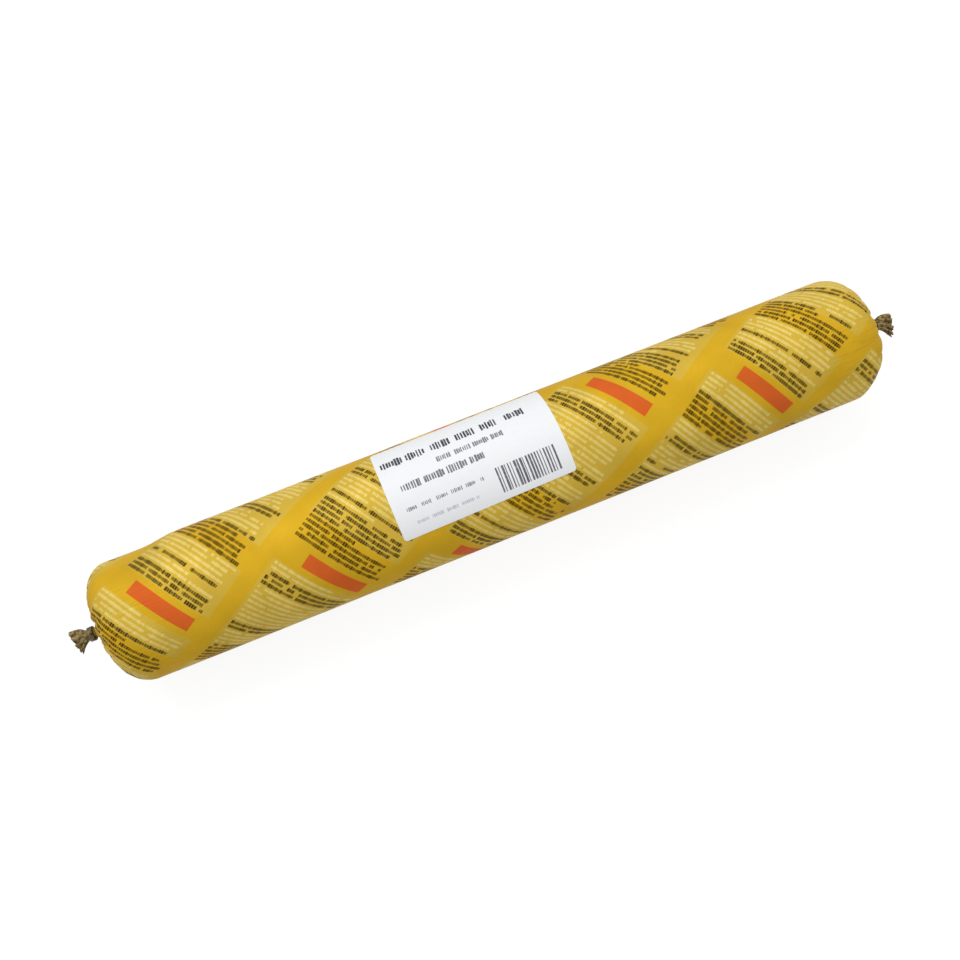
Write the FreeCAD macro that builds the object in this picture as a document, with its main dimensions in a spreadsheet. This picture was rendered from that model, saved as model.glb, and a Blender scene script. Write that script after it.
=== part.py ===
"""A soft foil pack of caulk, lying on its side.

The filled film is one sealed piece: a round barrel along X, two ends gathered into pleats, a thin neck at each end
and the short fluted tail of film past the neck. A crimped metal clip closes each neck, and a paper label is wrapped
on the upper side of the barrel. Sizes are in millimetres. Z is up and the pack rests on a narrow flat at Z = 0.
"""
import FreeCAD, Part
import Sketcher
import math
import os

DRIVING_SIZES = [
    ("pack_diameter", 49.5, "outer diameter of the filled barrel"),
    ("barrel_length", 289.8, "straight part, between the two rounded shoulders"),
    ("shoulder_run", 6.0, "film on the straight part that already belongs to a gathered end"),
    ("rest_sag", 1.0, "how far the soft underside is pressed flat"),
    ("left_shoulder_radius", 11.9, "rounding from the barrel into the left end face"),
    ("right_shoulder_radius", 11.6, "rounding from the barrel into the right end face"),
    ("end_rise_angle", 10.0, "slope of an end face towards its neck, degrees"),
    ("left_face_lean", 1.1, "how far the back of the left end face stands out past its middle"),
    ("throat_radius", 3.0, "hollow rounding where an end face turns into the neck"),
    ("neck_diameter", 4.0, "gathered film inside the clip"),
    ("neck_length", 2.8, "straight neck under the clip"),
    ("pleat_count", 16.0, "gathers round each end"),
    ("pleat_depth", 1.1, "depth of the valleys between the gathers"),
    ("valley_share", 0.4, "part of a gather's width that its valley takes"),
    ("left_tail_length", 5.3, "film past the left neck, along the tail's middle"),
    ("right_tail_length", 5.6, "film past the right neck, along the tail's middle"),
    ("tail_width", 9.4, "width of the tail at its cut end"),
    ("tail_thickness", 6.2, "thickness of the tail at its cut end"),
    ("tail_folds", 9.0, "folds round the tail"),
    ("tail_fold_depth", 1.2, "depth of the folds at the cut end of the tail"),
    ("left_tail_lean", 1.5, "sideways bend of the left tail towards the front"),
    ("right_tail_lean", 2.6, "sideways bend of the right tail towards the front"),
    ("left_tail_cut_angle", 15.0, "slope of the left tail's cut end, degrees"),
    ("right_tail_cut_angle", 17.0, "slope of the right tail's cut end, degrees"),
    ("clip_width", 2.2, "width of a clip along the pack"),
    ("clip_wall", 0.8, "thickness of the clip strip"),
    ("clip_edge_bevel", 0.25, "bevel on the clip's edges"),
    ("clip_split_angle", 14.0, "opening between the ends of the crimped strip, degrees"),
    ("clip_clearance", 0.03, "gap between the neck and the clip"),
    ("label_length", 68.0, "label along the barrel"),
    ("label_height", 42.0, "label round the barrel"),
    ("label_thickness", 0.12, "paper of the label"),
    ("label_clearance", 0.02, "layer between the film and the label"),
    ("label_shift", -7.8, "middle of the label from the middle of the barrel"),
    ("label_turn", 13.9, "middle of the label from the top towards the back, degrees"),
    ("label_skew", 1.3, "tilt of the label as it was stuck on, degrees"),
]

# How finely the film is drawn between its named sizes
SHOULDER_STEPS = 6
TAIL_STEPS = 3

document = FreeCAD.newDocument("caulk_pack")
sheet = document.addObject("Spreadsheet::Sheet", "Sizes")
for row, (alias, value, meaning) in enumerate(DRIVING_SIZES, start=1):
    sheet.set("A%d" % row, meaning)
    sheet.set("B%d" % row, str(value))
    sheet.setAlias("B%d" % row, alias)
document.recompute()


def size(alias):
    """Reads one driving size from the sheet."""
    return float(sheet.get(alias))


barrel_radius = size("pack_diameter") / 2
neck_radius = size("neck_diameter") / 2
axis_height = barrel_radius - size("rest_sag")
pleats = int(round(size("pleat_count")))
tail_folds = int(round(size("tail_folds")))
along_x = FreeCAD.Rotation(FreeCAD.Vector(0, 1, 0), 90)


def end_profile(shoulder_radius):
    """Outline of one end from the barrel to its neck.

    Each station is (distance out from the barrel's end, radius, tilt of the surface, how deep the pleats are).
    """
    face_tilt = math.radians(90.0 - size("end_rise_angle"))
    throat = size("throat_radius")
    run = size("shoulder_run")
    stations = [(-run, barrel_radius, 0.0, 0.0)]
    for step in range(SHOULDER_STEPS + 1):
        tilt = face_tilt * step / SHOULDER_STEPS
        out = shoulder_radius * math.sin(tilt)
        radius = barrel_radius - shoulder_radius * (1.0 - math.cos(tilt))
        stations.append((out, radius, tilt, (step / SHOULDER_STEPS) ** 2))
    face_start, face_radius = stations[-1][0], stations[-1][1]
    throat_start_radius = neck_radius + throat * (1.0 - math.cos(face_tilt))
    face_run = (face_radius - throat_start_radius) / math.tan(face_tilt)
    stations.append((face_start + face_run, throat_start_radius, face_tilt, 1.0))
    for part, depth in ((0.5, 0.4), (1.0, 0.0)):
        tilt = face_tilt * (1.0 - part)
        out = face_start + face_run + throat * (math.sin(face_tilt) - math.sin(tilt))
        stations.append((out, neck_radius + throat * (1.0 - math.cos(tilt)), tilt, depth))
    return stations


def on_circle(x, radius, turn):
    """A point round the pack's axis, with turn measured from straight down towards the back."""
    return FreeCAD.Vector(x, radius * math.sin(turn), axis_height - radius * math.cos(turn))


def closed_section(name, corners, middles):
    """A closed section through the corners: an arc where a middle is given, a straight crease line elsewhere."""
    edges = []
    for index, corner in enumerate(corners):
        following = corners[(index + 1) % len(corners)]
        if middles[index] is None:
            edges.append(Part.LineSegment(corner, following).toShape())
        else:
            edges.append(Part.Arc(corner, middles[index], following).toShape())
    section = document.addObject("Part::Feature", name)
    section.Shape = Part.Wire(edges)
    return section


def ring(name, side, start_x, station, lean):
    """A section of a gathered end: rounded gathers with creased valleys between them."""
    out, radius, tilt, pleat_share = station
    pitch = 2.0 * math.pi / pleats
    half_valley = pitch * size("valley_share") / 2

    def point(turn, depth):
        spread = radius - depth * math.cos(tilt)
        along = out - depth * math.sin(tilt)
        along += lean * math.sin(tilt) * spread / barrel_radius * math.sin(turn)
        return on_circle(start_x + side * along, spread, turn)

    corners, middles = [], []
    for number in range(pleats):
        turn = pitch * number
        depth = size("pleat_depth") * (0.8 + 0.2 * math.cos(2.4 * number)) * pleat_share
        gather_start, gather_end = turn + half_valley, turn + pitch - half_valley
        corners += [point(turn, depth), point(gather_start, 0.0), point(gather_end, 0.0)]
        creased = depth > 0.0
        middles += [None if creased else point(turn + half_valley / 2, 0.0),
                    point((gather_start + gather_end) / 2, 0.0),
                    None if creased else point(turn + pitch - half_valley / 2, 0.0)]
    return closed_section(name, corners, middles)


def tail_ring(name, end, side, start_x, part):
    """A section of the film tail, which fans out from the neck in sharp folds, its back longer than its front."""
    half_width = neck_radius + (size("tail_width") / 2 - neck_radius) * part
    half_thickness = neck_radius + (size("tail_thickness") / 2 - neck_radius) * part
    cut_slope = math.tan(math.radians(size(end + "_tail_cut_angle")))
    half_fold = math.pi / tail_folds
    corners, middles = [], []
    for number in range(2 * tail_folds):
        turn = half_fold * number
        depth = size("tail_fold_depth") * part if number % 2 else 0.0
        across = (half_width - depth) * math.sin(turn)
        x = start_x + side * part * (size(end + "_tail_length") + across * cut_slope)
        z = axis_height - (half_thickness - depth) * math.cos(turn)
        corners.append(FreeCAD.Vector(x, across - size(end + "_tail_lean") * part ** 2, z))
        middles.append(None if part > 0.0 else on_circle(x, neck_radius, turn + half_fold / 2))
    return closed_section(name, corners, middles)


def loft(name, sections):
    """A closed solid through the given sections, with straight runs of film from one to the next."""
    solid = document.addObject("Part::Loft", name)
    solid.Sections = sections
    solid.Solid = True
    solid.Ruled = True
    for section in sections:
        section.Visibility = False
    return solid


left_profile = end_profile(size("left_shoulder_radius"))
right_profile = end_profile(size("right_shoulder_radius"))
left_depth = left_profile[-1][0]
right_depth = right_profile[-1][0]


def tail_reach(end):
    """How far the tail stands out past its neck at the tip of its longest fold."""
    fold_reach = max(math.sin(2.0 * math.pi * number / tail_folds) for number in range(tail_folds))
    cut_slope = math.tan(math.radians(size(end + "_tail_cut_angle")))
    return size(end + "_tail_length") + size("tail_width") / 2 * fold_reach * cut_slope


barrel_middle = (left_depth + tail_reach("left") - right_depth - tail_reach("right")) / 2
left_barrel_end = barrel_middle - size("barrel_length") / 2
right_barrel_end = barrel_middle + size("barrel_length") / 2
left_neck_start = left_barrel_end - left_depth
right_neck_start = right_barrel_end + right_depth


def rod(name, start_x, radius_rule, length_rule):
    """A round rod along the pack's axis, its radius and length bound to the sheet."""
    cylinder = document.addObject("Part::Cylinder", name)
    cylinder.setExpression("Radius", radius_rule)
    cylinder.setExpression("Height", length_rule)
    cylinder.Placement = FreeCAD.Placement(FreeCAD.Vector(start_x, 0, axis_height), along_x)
    return cylinder


def film_end(name, side, barrel_end, profile, face_lean):
    """The gathered end, neck and tail of one side, as three solids that meet face to face."""
    rings = [ring("%s_ring_%d" % (name, number), side, barrel_end, station, face_lean)
             for number, station in enumerate(profile)]
    neck_start = barrel_end + side * profile[-1][0]
    neck_end = neck_start + side * size("neck_length")
    tail_rings = [tail_ring("%s_tail_ring_%d" % (name, step), name, side, neck_end, step / TAIL_STEPS)
                  for step in range(TAIL_STEPS + 1)]
    neck = rod(name + "_neck", min(neck_start, neck_end), "Sizes.neck_diameter / 2", "Sizes.neck_length")
    return [loft(name + "_gather", rings), neck, loft(name + "_tail", tail_rings)]


barrel = rod("barrel", left_barrel_end + size("shoulder_run"), "Sizes.pack_diameter / 2",
             "Sizes.barrel_length - 2 * Sizes.shoulder_run")
left_solids = film_end("left", -1, left_barrel_end, left_profile, size("left_face_lean"))
right_solids = film_end("right", 1, right_barrel_end, right_profile, 0.0)

filled_film = document.addObject("Part::MultiFuse", "filled_film")
filled_film.Shapes = [barrel] + left_solids + right_solids

pressed_flat = document.addObject("Part::Box", "pressed_flat")
pressed_flat.setExpression("Length", "Sizes.barrel_length * 2")
pressed_flat.setExpression("Width", "Sizes.pack_diameter")
pressed_flat.setExpression("Height", "Sizes.rest_sag * 4")
pressed_flat.setExpression("Placement.Base.x", "-Sizes.barrel_length")
pressed_flat.setExpression("Placement.Base.y", "-Sizes.pack_diameter / 2")
pressed_flat.setExpression("Placement.Base.z", "-Sizes.rest_sag * 4")

film_pack = document.addObject("Part::Cut", "film_pack")
film_pack.Label = "film_pack"
film_pack.Base = filled_film
film_pack.Tool = pressed_flat


def origin_plane(body, role):
    """The plane of a body's own origin that has the given role."""
    return next(plane for plane in body.Origin.OriginFeatures if plane.Role == role)


def crimped_clip(name, middle_x):
    """A strip of soft metal bent round the neck, its two ends left a little apart underneath."""
    body = document.addObject("PartDesign::Body", name)
    body.Label = name
    profile = body.newObject("Sketcher::SketchObject", name + "_section")
    profile.AttachmentSupport = [(origin_plane(body, "XZ_Plane"), "")]
    profile.MapMode = "FlatFace"
    half = size("clip_width") / 2
    bore = neck_radius + size("clip_clearance")
    outside = bore + size("clip_wall")
    corners = [(-half, bore), (half, bore), (half, outside), (-half, outside)]
    for index, corner in enumerate(corners):
        following = corners[(index + 1) % len(corners)]
        start, end = (FreeCAD.Vector(x, y, 0) for x, y in (corner, following))
        profile.addGeometry(Part.LineSegment(start, end), False)
    for index in range(4):
        profile.addConstraint(Sketcher.Constraint("Coincident", index, 2, (index + 1) % 4, 1))
    for index, kind in enumerate(("Horizontal", "Vertical", "Horizontal", "Vertical")):
        profile.addConstraint(Sketcher.Constraint(kind, index))
    bore_rule = profile.addConstraint(Sketcher.Constraint("DistanceY", -1, 1, 0, 1, bore))
    wall_rule = profile.addConstraint(Sketcher.Constraint("DistanceY", 1, 1, 1, 2, size("clip_wall")))
    half_rule = profile.addConstraint(Sketcher.Constraint("DistanceX", -1, 1, 0, 2, half))
    width_rule = profile.addConstraint(Sketcher.Constraint("DistanceX", 0, 1, 0, 2, size("clip_width")))
    profile.setExpression("Constraints[%d]" % bore_rule, "Sizes.neck_diameter / 2 + Sizes.clip_clearance")
    profile.setExpression("Constraints[%d]" % wall_rule, "Sizes.clip_wall")
    profile.setExpression("Constraints[%d]" % half_rule, "Sizes.clip_width / 2")
    profile.setExpression("Constraints[%d]" % width_rule, "Sizes.clip_width")
    bend = body.newObject("PartDesign::Revolution", name + "_bend")
    bend.Profile = profile
    bend.ReferenceAxis = (profile, ["H_Axis"])
    bend.Midplane = True
    bend.setExpression("Angle", "360 - Sizes.clip_split_angle")
    document.recompute()
    long_edges = ["Edge%d" % (number + 1) for number, edge in enumerate(bend.Shape.Edges)
                  if edge.Curve.TypeId == "Part::GeomCircle"]
    bevel = body.newObject("PartDesign::Chamfer", name + "_edges")
    bevel.Base = (bend, long_edges)
    bevel.setExpression("Size", "Sizes.clip_edge_bevel")
    body.Tip = bevel
    body.Placement.Base = FreeCAD.Vector(middle_x, 0, 0)
    body.setExpression("Placement.Base.z", "Sizes.pack_diameter / 2 - Sizes.rest_sag")
    return body


half_neck = size("neck_length") / 2
left_clip = crimped_clip("left_clip", left_neck_start - half_neck)
right_clip = crimped_clip("right_clip", right_neck_start + half_neck)

label_middle_x = barrel_middle + size("label_shift")
sleeve_start = label_middle_x - size("label_length")
label_outside = rod("label_outside", sleeve_start,
                    "Sizes.pack_diameter / 2 + Sizes.label_clearance + Sizes.label_thickness",
                    "Sizes.label_length * 2")
label_inside = rod("label_inside", sleeve_start,
                   "Sizes.pack_diameter / 2 + Sizes.label_clearance", "Sizes.label_length * 2")
sleeve = document.addObject("Part::Cut", "label_sleeve")
sleeve.Base = label_outside
sleeve.Tool = label_inside

label_outline = document.addObject("Part::Box", "label_outline")
label_outline.setExpression("Length", "Sizes.label_length")
label_outline.setExpression(
    "Width", "Sizes.pack_diameter * sin(Sizes.label_height / Sizes.pack_diameter * 1 rad)")
label_outline.setExpression("Height", "Sizes.pack_diameter")
half_chord = barrel_radius * math.sin(size("label_height") / size("pack_diameter"))
middle_of_label = FreeCAD.Placement(
    FreeCAD.Vector(label_middle_x, 0, axis_height),
    FreeCAD.Rotation(FreeCAD.Vector(1, 0, 0), -size("label_turn")))
stuck_on_skew = FreeCAD.Placement(
    FreeCAD.Vector(), FreeCAD.Rotation(FreeCAD.Vector(0, 0, 1), size("label_skew")))
outline_corner = FreeCAD.Placement(
    FreeCAD.Vector(-size("label_length") / 2, -half_chord, 0), FreeCAD.Rotation())
label_outline.Placement = middle_of_label * stuck_on_skew * outline_corner

label = document.addObject("Part::Common", "label")
label.Label = "label"
label.Base = sleeve
label.Tool = label_outline

document.recompute()
for item in document.Objects:
    if "Invalid" in item.State or "Error" in item.State:
        raise RuntimeError("%s failed: %s" % (item.Name, item.State))

os.makedirs("parts", exist_ok=True)
for node in (film_pack, left_clip, right_clip, label):
    shape = node.Shape
    if shape.isNull() or not shape.isValid() or len(shape.Solids) != 1:
        raise RuntimeError("%s is not one valid solid" % node.Label)
    shape.exportStep("parts/%s.step" % node.Label)
    box = shape.BoundBox
    print("%s: %.2f cm3, x %.2f to %.2f, y %.2f to %.2f, z %.2f to %.2f" % (
        node.Label, shape.Volume / 1000.0, box.XMin, box.XMax, box.YMin, box.YMax, box.ZMin, box.ZMax))
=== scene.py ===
"""Looks of a soft foil pack of caulk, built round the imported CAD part.

The printed film with its gathered ends and tails, the crimped clips and the paper label are made here as
finished pieces. Each one stands for its own CAD node and rides on the one body. Lengths are in metres, in the
frame of the part: X runs along the pack, +Y is its back, Z is up, and the pack lies on Z = 0.
"""
import logging
import math
from dataclasses import asdict, dataclass
from enum import Enum
from typing import Callable, Dict, List, Optional, Sequence, Tuple, Union

import bmesh
import bpy
import numpy as np
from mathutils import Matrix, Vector


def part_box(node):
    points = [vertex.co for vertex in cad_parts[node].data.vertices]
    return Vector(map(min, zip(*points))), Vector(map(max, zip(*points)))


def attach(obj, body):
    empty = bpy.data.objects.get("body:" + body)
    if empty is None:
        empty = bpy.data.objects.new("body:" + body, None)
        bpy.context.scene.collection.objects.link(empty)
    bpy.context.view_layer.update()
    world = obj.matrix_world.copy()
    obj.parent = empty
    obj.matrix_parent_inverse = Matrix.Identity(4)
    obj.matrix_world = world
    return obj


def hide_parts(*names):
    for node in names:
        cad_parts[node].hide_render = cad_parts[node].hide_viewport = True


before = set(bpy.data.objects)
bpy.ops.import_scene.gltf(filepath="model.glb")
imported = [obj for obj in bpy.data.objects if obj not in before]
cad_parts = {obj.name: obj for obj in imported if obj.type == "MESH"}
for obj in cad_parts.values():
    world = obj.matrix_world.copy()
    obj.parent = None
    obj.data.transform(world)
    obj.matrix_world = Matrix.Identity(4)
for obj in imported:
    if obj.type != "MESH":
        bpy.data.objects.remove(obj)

log = logging.getLogger("caulk_pack")

MM = 0.001
Colour = Tuple[float, float, float, float]
Pair = Tuple[float, float]
Triple = Tuple[float, float, float]
Face = Tuple[int, ...]
CRISP_ANGLE = math.radians(62.0)
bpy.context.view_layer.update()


def ink(red: int, green: int, blue: int) -> Colour:
    """Turns a colour written as it looks on a screen into the linear values that a shader takes.

    Args:
        red: Red, 0 to 255.
        green: Green, 0 to 255.
        blue: Blue, 0 to 255.

    Returns:
        The linear colour, with an alpha of 1.
    """
    parts = [value / 255.0 for value in (red, green, blue)]
    linear = [part / 12.92 if part <= 0.04045 else ((part + 0.055) / 1.055) ** 2.4 for part in parts]
    return (linear[0], linear[1], linear[2], 1.0)


class End(Enum):
    """The two gathered ends, by the direction in which they point along X."""

    LEFT = -1
    RIGHT = 1


def sum_node(operation: str, swapped: bool = False) -> Callable[..., "Wire"]:
    """Makes an operator of Wire that adds one sum.

    Args:
        operation: The math node's operation.
        swapped: Whether the other value stands in front.

    Returns:
        The operator, a method of Wire.
    """
    def run(self: "Wire", *others: "Value") -> "Wire":
        """Adds the sum."""
        return self.pen.calc(operation, *((*others, self) if swapped else (self, *others)))
    return run


class Wire:
    """A number or colour on its way through a node tree. Sums on it add nodes to the tree."""

    def __init__(self, pen: "Pen", socket: bpy.types.NodeSocket) -> None:
        """Holds an output socket of the pen's tree."""
        self.pen = pen
        self.socket = socket

    __add__ = sum_node("ADD")
    __sub__ = sum_node("SUBTRACT")
    __rsub__ = sum_node("SUBTRACT", swapped=True)
    __mul__ = sum_node("MULTIPLY")
    __truediv__ = sum_node("DIVIDE")
    __gt__ = sum_node("GREATER_THAN")
    __lt__ = sum_node("LESS_THAN")
    __abs__ = sum_node("ABSOLUTE")
    floor = sum_node("FLOOR")
    part = sum_node("FRACT")
    cos = sum_node("COSINE")
    sin = sum_node("SINE")

    def rise(self, low: float, high: float) -> "Wire":
        """Goes smoothly from 0 at low to 1 at high, or falls where low is the greater.

        Args:
            low: Where the share leaves 0.
            high: Where it comes to 1.

        Returns:
            The share, 0 to 1.
        """
        made = self.pen.node("ShaderNodeMapRange", interpolation_type="SMOOTHSTEP")
        ends = (low, high, 0.0, 1.0) if low <= high else (high, low, 1.0, 0.0)
        for name, number in zip(("From Min", "From Max", "To Min", "To Max"), ends):
            made.inputs[name].default_value = number
        self.pen.feed(made.inputs["Value"], self)
        return Wire(self.pen, made.outputs["Result"])


Value = Union[Wire, float]


class Pen:
    """Adds nodes to one tree and joins them, so that a rule for a shape or a finish reads as sums."""

    def __init__(self, tree: bpy.types.NodeTree) -> None:
        """Takes the tree to write in."""
        self.tree = tree

    def node(self, kind: str, **settings: object) -> bpy.types.Node:
        """Adds a node and sets its options.

        Args:
            kind: The node's type name.
            settings: The node's options.

        Returns:
            The new node.
        """
        made = self.tree.nodes.new(kind)
        for name, value in settings.items():
            setattr(made, name, value)
        return made

    def feed(self, socket: bpy.types.NodeSocket, value: object) -> None:
        """Joins a wire to a socket, or sets a plain value on it.

        Args:
            socket: The input socket.
            value: The wire or the plain value.
        """
        if isinstance(value, Wire):
            self.tree.links.new(value.socket, socket)
        else:
            socket.default_value = value

    def calc(self, operation: str, *values: Value) -> Wire:
        """Adds one sum.

        Args:
            operation: The math node's operation.
            values: Its inputs in order.

        Returns:
            The result.
        """
        made = self.node("ShaderNodeMath", operation=operation)
        for index, value in enumerate(values):
            self.feed(made.inputs[index], value)
        return Wire(self, made.outputs[0])

    def joined(self, x: Value, y: Value, z: Value = 0.0) -> Wire:
        """Makes one vector of three numbers.

        Args:
            x: The first number.
            y: The second one.
            z: The third one.

        Returns:
            The vector.
        """
        made = self.node("ShaderNodeCombineXYZ")
        for index, value in enumerate((x, y, z)):
            self.feed(made.inputs[index], value)
        return Wire(self, made.outputs[0])

    def split(self, vector: Wire) -> Tuple[Wire, Wire, Wire]:
        """Takes a vector apart into its three numbers.

        Args:
            vector: The vector.

        Returns:
            Its three numbers.
        """
        made = self.node("ShaderNodeSeparateXYZ")
        self.feed(made.inputs[0], vector)
        return tuple(Wire(self, output) for output in made.outputs)

    def spot(self) -> Wire:
        """Reads the place on the piece, in metres."""
        return Wire(self, self.node("ShaderNodeTexCoord").outputs["Object"])

    def on_map(self, name: str, shift: Pair) -> Tuple[Wire, Wire]:
        """Reads a piece's own map, in millimetres from the map's middle."""
        x, y, _ = self.split(Wire(self, self.node("ShaderNodeUVMap", uv_map=name).outputs[0]))
        return (x - shift[0]) * (1.0 / MM), (y - shift[1]) * (1.0 / MM)

    def chance(self, x: Value, y: Value = 0.0) -> Wire:
        """Gives one fixed number between 0 and 1 for each pair of whole numbers.

        Args:
            x: The first whole number.
            y: The second one.

        Returns:
            The number.
        """
        made = self.node("ShaderNodeTexWhiteNoise", noise_dimensions="2D")
        self.feed(made.inputs["Vector"], self.joined(x, y))
        return Wire(self, made.outputs["Value"])

    def clouds(self, vector: Wire, scale: float, detail: float = 2.0, seed: Value = 0.0) -> Wire:
        """Gives smooth noise about 0.5.

        Args:
            vector: Where the noise is read.
            scale: How many waves it has for each unit.
            detail: How many finer layers it has.
            seed: Which of the patterns is taken.

        Returns:
            The noise.
        """
        made = self.node("ShaderNodeTexNoise", noise_dimensions="4D")
        self.feed(made.inputs["Vector"], vector)
        self.feed(made.inputs["W"], seed)
        made.inputs["Scale"].default_value = scale
        made.inputs["Detail"].default_value = detail
        return Wire(self, made.outputs[0])

    def blend(self, share: Value, first: object, second: object) -> Wire:
        """Mixes two colours, the second by its share.

        Args:
            share: The second colour's share.
            first: The first colour.
            second: The second colour.

        Returns:
            The mixed colour.
        """
        made = self.node("ShaderNodeMix", data_type="RGBA")
        self.feed(made.inputs["Factor"], share)
        colours = [socket for socket in made.inputs if socket.type == "RGBA"]
        self.feed(colours[0], first)
        self.feed(colours[1], second)
        return Wire(self, next(socket for socket in made.outputs if socket.type == "RGBA"))

    def flags(self, value: Wire, colours: Sequence[Triple]) -> Tuple[Wire, Wire, Wire]:
        """Looks three numbers up in a list.

        Args:
            value: The place in the list, 0 to 1.
            colours: The three numbers of each entry.

        Returns:
            The three numbers found.
        """
        made = self.node("ShaderNodeValToRGB")
        made.color_ramp.interpolation = "CONSTANT"
        elements = made.color_ramp.elements
        while len(elements) < len(colours):
            elements.new(0.99)
        for index, colour in enumerate(colours):
            elements[index].position = index / len(colours)
            elements[index].color = (*colour, 1.0)
        self.feed(made.inputs[0], value)
        return self.split(Wire(self, made.outputs["Color"]))


def new_material(name: str, plain: Dict[str, object]) -> Tuple[bpy.types.Material, Pen, bpy.types.Node]:
    """Makes a material with one plain surface shader.

    Args:
        name: The finish in plain words.
        plain: The shader's inputs that are the same everywhere.

    Returns:
        The material, the pen for its tree, and the surface shader.
    """
    material = bpy.data.materials.new(name)
    material.use_nodes = True
    shader = next(node for node in material.node_tree.nodes if node.type == "BSDF_PRINCIPLED")
    for key, value in plain.items():
        shader.inputs[key].default_value = value
    return material, Pen(material.node_tree), shader


def bumped(pen: Pen, shader: bpy.types.Node, height: Wire, depth: float, strength: float) -> None:
    """Gives a shader a relief.

    Args:
        pen: The pen of its tree.
        shader: The surface shader.
        height: The relief, 0 to 1.
        depth: What 1 stands for, in metres.
        strength: How strongly it shows.
    """
    bump = pen.node("ShaderNodeBump")
    bump.inputs["Strength"].default_value = strength
    bump.inputs["Distance"].default_value = depth
    pen.feed(bump.inputs["Height"], height)
    pen.feed(shader.inputs["Normal"], Wire(pen, bump.outputs[0]))


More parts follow.
